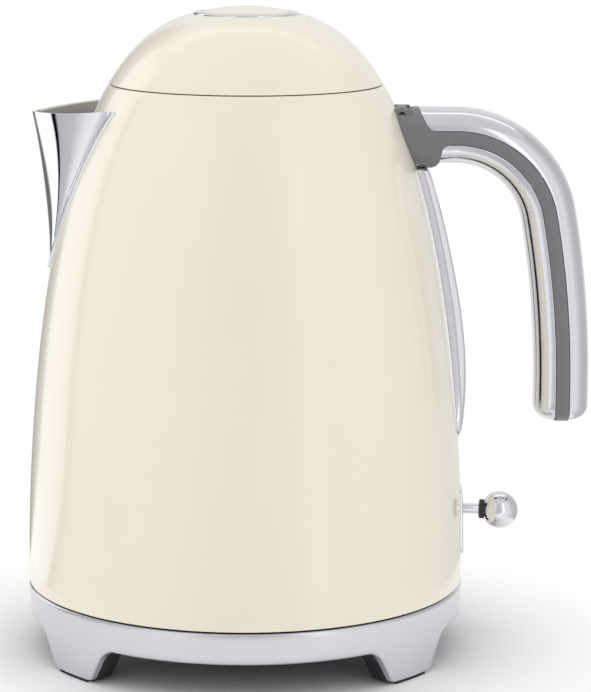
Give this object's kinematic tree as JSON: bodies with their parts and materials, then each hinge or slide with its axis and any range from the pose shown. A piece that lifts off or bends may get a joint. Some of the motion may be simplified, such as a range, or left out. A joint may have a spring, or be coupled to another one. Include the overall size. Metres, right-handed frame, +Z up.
{
  "type": "electric kettle",
  "caption": "Cordless electric kettle: domed cream jug with chrome spout, hooked handle, hinged push-button lid, water gauge and ball-ended switch lever, on a round swivel power base.",
  "frame": {"origin": "on the swivel axis, in the plane of the table that the rubber pads stand on", "axes": "+Z up along the swivel axis, +X towards the handle, -X towards the spout, -Y towards the front side view"},
  "size_m": [0.2196, 0.171, 0.2517],
  "materials": {
    "cream_paint": "gloss cream enamel paint",
    "cream_plastic": "gloss cream, as the painted shell",
    "base_silver": "fine satin, silver",
    "chrome_plate": "mirror polished",
    "handle_chrome": "chrome-plated plastic, polished",
    "grey_plastic": "moulded, satin grey",
    "black_plastic": "moulded, fine texture",
    "white_plastic": "moulded, natural white",
    "black_rubber": "matt",
    "grey_silicone": "silicone, matt",
    "vessel_steel": "drawn stainless steel",
    "screw_steel": "zinc plated",
    "spreader_aluminium": "cast",
    "contact_brass": "nickel brass",
    "clear_window": "clear moulded window"
  },
  "bodies": {
    "power_base": {"base_ring": "base_silver", "foot_pads": "black_rubber", "base_deck": "grey_plastic", "base_cover": "black_plastic", "base_screws": "screw_steel", "base_socket": "black_plastic", "socket_contacts": "contact_brass", "cable_gland": "black_plastic", "cord_clamp": "white_plastic", "clamp_screws": "screw_steel"},
    "swivel": {"glide_ring": "white_plastic"},
    "jug": {"body_shell": "cream_paint", "mouth_collar": "grey_plastic", "vessel_floor": "vessel_steel", "floor_seal": "grey_silicone", "heat_spreader": "spreader_aluminium", "heating_element": "vessel_steel", "control_block": "white_plastic", "bimetal_disc": "contact_brass", "jug_connector": "black_plastic", "jug_contacts": "contact_brass", "bottom_cover": "black_plastic", "cover_screws": "screw_steel", "steam_tube": "white_plastic", "spout": "chrome_plate", "filter_guides": "vessel_steel", "gauge_frame": "chrome_plate", "gauge_window": "clear_window", "gauge_seal": "grey_silicone", "handle_core": "grey_plastic", "handle_outer_shell": "handle_chrome", "handle_inner_shell": "handle_chrome", "handle_bracket": "vessel_steel", "handle_screws": "screw_steel", "hinge_bracket": "grey_plastic", "hinge_pin": "vessel_steel", "slot_plate": "chrome_plate", "switch_bracket": "white_plastic", "lever_pin": "vessel_steel"},
    "lid": {"lid_shell": "cream_paint", "lid_ring": "chrome_plate", "button_housing": "grey_plastic", "lid_liner": "grey_plastic", "lid_seal": "grey_silicone", "hinge_arm": "cream_paint", "hinge_screws": "screw_steel"},
    "button": {"lid_button": "cream_plastic", "button_spring": "vessel_steel"},
    "latch": {"latch_bolt": "white_plastic", "latch_spring": "vessel_steel"},
    "lever": {"lever_knob": "chrome_plate", "lever_collar": "black_plastic", "lever_stem": "chrome_plate", "lever_rocker": "black_plastic"},
    "filter": {"filter_frame": "grey_plastic", "filter_mesh": "vessel_steel"}
  },
  "joints": [
    {"name": "swivel_turn", "type": "hinge", "parent": "power_base", "child": "swivel", "pos_m": [0, 0, 0.0245], "axis": [0, 0, 1], "continuous": true},
    {"name": "jug_lift", "type": "slide", "parent": "swivel", "child": "jug", "axis": [0, 0, 1], "range_m": [0, 0.06]},
    {"name": "lid_hinge", "type": "hinge", "parent": "jug", "child": "lid", "pos_m": [0.06003, 0, 0.2108], "axis": [0, 1, 0], "range_deg": [0, 80]},
    {"name": "button_press", "type": "slide", "parent": "lid", "child": "button", "axis": [0, 0, -1], "range_m": [0, 0.004], "stiffness_N_per_m": 300, "springref_m": -0.002, "deforming": ["button_spring"]},
    {"name": "latch_draw", "type": "slide", "parent": "lid", "child": "latch", "axis": [1, 0, 0], "range_m": [0, 0.003], "deforming": ["latch_spring"]},
    {"name": "lever_tilt", "type": "hinge", "parent": "jug", "child": "lever", "pos_m": [0.051, 0, 0.0559], "axis": [0, 1, 0], "range_deg": [0, 18]},
    {"name": "filter_pull", "type": "slide", "parent": "jug", "child": "filter", "axis": [1, 0, 0], "range_m": [0, 0.02]}
  ],
  "couplings": [
    {"joint": "latch_draw", "follows": "button_press", "ratio": 0.75}
  ]
}
